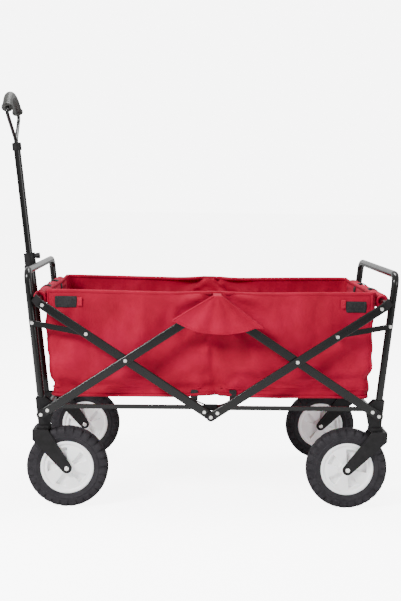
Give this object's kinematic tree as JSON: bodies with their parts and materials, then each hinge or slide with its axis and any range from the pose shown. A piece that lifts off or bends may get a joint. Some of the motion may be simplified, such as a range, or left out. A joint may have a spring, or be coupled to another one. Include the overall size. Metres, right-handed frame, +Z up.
{
  "type": "folding camp wagon",
  "caption": "Folding wagon: an open fabric tub in a scissor frame of flat tubes with end hoops, wheels on forks and swivelling casters, and a tilting telescopic handle.",
  "frame": {"origin": "on the ground, below the middle of the open wagon's box", "axes": "+X towards the rear, away from the handle; +Y across, from the near side to the far side; +Z up"},
  "size_m": [0.996, 0.5602, 1.0283],
  "materials": {
    "frame_paint": "semi-gloss black powder coat",
    "plated_steel": "bright zinc plate",
    "black_plastic": "fine moulded grain",
    "hub_plastic": "satin white moulding",
    "tyre": "matt black foam-filled tread",
    "grip_rubber": "soft ribbed grip",
    "red_fabric": "red woven polyester",
    "gloss_black": "polished moulding"
  },
  "bodies": {
    "rear_frame": {"rear_hoop": "frame_paint", "rear_cross_tube": "frame_paint", "rear_brackets": "black_plastic", "rear_fork_near": "black_plastic", "rear_fork_far": "black_plastic", "rear_axles": "plated_steel", "rear_frame_pins": "plated_steel"},
    "rear_rising_arms": {"rear_rising_bar_near": "frame_paint", "rear_rising_bar_far": "frame_paint", "rear_rising_ends": "black_plastic", "rear_rising_pins": "plated_steel"},
    "front_rising_arms": {"front_rising_bar_near": "frame_paint", "front_rising_bar_far": "frame_paint", "front_rising_ends": "black_plastic", "front_rising_pins": "plated_steel"},
    "rear_falling_arms": {"rear_falling_bar_near": "frame_paint", "rear_falling_bar_far": "frame_paint", "rear_falling_ends": "black_plastic", "rear_rail": "frame_paint", "rear_falling_pins": "plated_steel"},
    "front_falling_arms": {"front_falling_bar_near": "frame_paint", "front_falling_bar_far": "frame_paint", "front_falling_ends": "black_plastic", "front_rail": "frame_paint", "front_falling_pins": "plated_steel"},
    "fabric_tub": {"tub": "red_fabric", "tub_flap_near": "red_fabric", "tub_flap_far": "red_fabric", "top_pivot_pins": "plated_steel"},
    "front_frame": {"front_hoop": "frame_paint", "front_cross_tube": "frame_paint", "front_brackets": "black_plastic", "front_frame_pins": "plated_steel", "handle_bracket": "black_plastic", "caster_housings": "black_plastic"},
    "front_stay_pair": {"front_stays": "frame_paint"},
    "rear_stay_pair": {"rear_stays": "frame_paint", "stay_hubs": "black_plastic"},
    "front_link_pair": {"front_links": "frame_paint"},
    "rear_link_pair": {"rear_links": "frame_paint"},
    "caster_near": {"front_fork_near": "black_plastic", "front_axle_near": "plated_steel"},
    "caster_far": {"front_fork_far": "black_plastic", "front_axle_far": "plated_steel"},
    "front_wheel_near": {"front_tyre_near": "tyre", "front_hub_near": "hub_plastic"},
    "front_wheel_far": {"front_tyre_far": "tyre", "front_hub_far": "hub_plastic"},
    "rear_wheel_near": {"rear_tyre_near": "tyre", "rear_hub_near": "hub_plastic"},
    "rear_wheel_far": {"rear_tyre_far": "tyre", "rear_hub_far": "hub_plastic"},
    "handle_arm": {"handle_tube": "frame_paint", "handle_clamp": "black_plastic"},
    "knob": {"clamp_knob": "black_plastic"},
    "handle_slider": {"handle_pole": "frame_paint", "handle_collar": "black_plastic", "handle_loop": "frame_paint", "handle_grip": "grip_rubber"},
    "release_button": {"grip_button": "gloss_black"}
  },
  "joints": [
    {"name": "fold", "type": "hinge", "parent": "rear_frame", "child": "rear_rising_arms", "pos_m": [0.45253, 0, 0.23429], "axis": [0, 1, 0], "range_deg": [0, 36], "deforming": ["tub", "tub_flap_near", "tub_flap_far"]},
    {"name": "top_pivot", "type": "hinge", "parent": "rear_rising_arms", "child": "front_rising_arms", "pos_m": [0.04115, 0, 0.50452], "axis": [0, 1, 0], "range_deg": [-72.02, 0]},
    {"name": "rear_cross_pivot", "type": "hinge", "parent": "rear_rising_arms", "child": "rear_falling_arms", "pos_m": [0.24943, 0, 0.3677], "axis": [0, 1, 0], "range_deg": [-72.02, 0]},
    {"name": "front_cross_pivot", "type": "hinge", "parent": "front_rising_arms", "child": "front_falling_arms", "pos_m": [-0.16713, 0, 0.3677], "axis": [0, 1, 0], "range_deg": [0, 72.02]},
    {"name": "tub_hang", "type": "hinge", "parent": "rear_rising_arms", "child": "fabric_tub", "pos_m": [0.04115, 0, 0.50452], "axis": [0, 1, 0], "range_deg": [-36.02, 0]},
    {"name": "front_foot_pivot", "type": "hinge", "parent": "front_rising_arms", "child": "front_frame", "pos_m": [-0.37023, 0, 0.23429], "axis": [0, 1, 0], "range_deg": [0, 36.02]},
    {"name": "front_stay_pivot", "type": "hinge", "parent": "front_frame", "child": "front_stay_pair", "pos_m": [-0.35393, 0, 0.248], "axis": [0, 1, 0], "range_deg": [-66.5, 0]},
    {"name": "rear_stay_pivot", "type": "hinge", "parent": "rear_frame", "child": "rear_stay_pair", "pos_m": [0.43623, 0, 0.248], "axis": [0, 1, 0], "range_deg": [0, 66.5]},
    {"name": "front_link_pivot", "type": "hinge", "parent": "front_frame", "child": "front_link_pair", "pos_m": [-0.3934, 0, 0.45466], "axis": [0, 1, 0], "range_deg": [-69.42, 0]},
    {"name": "rear_link_pivot", "type": "hinge", "parent": "rear_frame", "child": "rear_link_pair", "pos_m": [0.4757, 0, 0.45466], "axis": [0, 1, 0], "range_deg": [0, 69.42]},
    {"name": "handle_tilt", "type": "hinge", "parent": "front_frame", "child": "handle_arm", "pos_m": [-0.39309, 0, 0.22529], "axis": [0, 1, 0], "range_deg": [-83, 0]},
    {"name": "handle_slide", "type": "slide", "parent": "handle_arm", "child": "handle_slider", "axis": [-0.1115, 0, 0.9938], "range_m": [-0.245, 0]},
    {"name": "clamp_turn", "type": "hinge", "parent": "handle_arm", "child": "knob", "pos_m": [-0.43511, 0, 0.59994], "axis": [0.9938, 0, 0.1115], "range_deg": [0, 180]},
    {"name": "button_press", "type": "slide", "parent": "handle_slider", "child": "release_button", "axis": [0.9938, 0, 0.1115], "range_m": [0, 0.003], "stiffness_N_per_m": 400, "springref_m": -0.001},
    {"name": "caster_swivel_near", "type": "hinge", "parent": "front_frame", "child": "caster_near", "pos_m": [-0.36701, -0.24, 0.195], "axis": [0, 0, 1], "continuous": true},
    {"name": "caster_swivel_far", "type": "hinge", "parent": "front_frame", "child": "caster_far", "pos_m": [-0.36701, 0.24, 0.195], "axis": [0, 0, 1], "continuous": true},
    {"name": "front_wheel_spin_near", "type": "hinge", "parent": "caster_near", "child": "front_wheel_near", "pos_m": [-0.30851, -0.24, 0.1], "axis": [0, 1, 0], "continuous": true},
    {"name": "front_wheel_spin_far", "type": "hinge", "parent": "caster_far", "child": "front_wheel_far", "pos_m": [-0.30851, 0.24, 0.1], "axis": [0, 1, 0], "continuous": true},
    {"name": "rear_wheel_spin_near", "type": "hinge", "parent": "rear_frame", "child": "rear_wheel_near", "pos_m": [0.37901, -0.24, 0.1], "axis": [0, 1, 0], "continuous": true},
    {"name": "rear_wheel_spin_far", "type": "hinge", "parent": "rear_frame", "child": "rear_wheel_far", "pos_m": [0.37901, 0.24, 0.1], "axis": [0, 1, 0], "continuous": true}
  ],
  "couplings": [
    {"joint": "top_pivot", "follows": "fold", "ratio": -2},
    {"joint": "rear_cross_pivot", "follows": "fold", "ratio": -2},
    {"joint": "front_cross_pivot", "follows": "fold", "ratio": 2},
    {"joint": "tub_hang", "follows": "fold", "ratio": -1},
    {"joint": "front_foot_pivot", "follows": "fold", "ratio": 1},
    {"joint": "front_stay_pivot", "follows": "fold", "ratio": -1.8466},
    {"joint": "rear_stay_pivot", "follows": "fold", "ratio": 1.8466},
    {"joint": "front_link_pivot", "follows": "fold", "ratio": -1.9279},
    {"joint": "rear_link_pivot", "follows": "fold", "ratio": 1.9279}
  ]
}
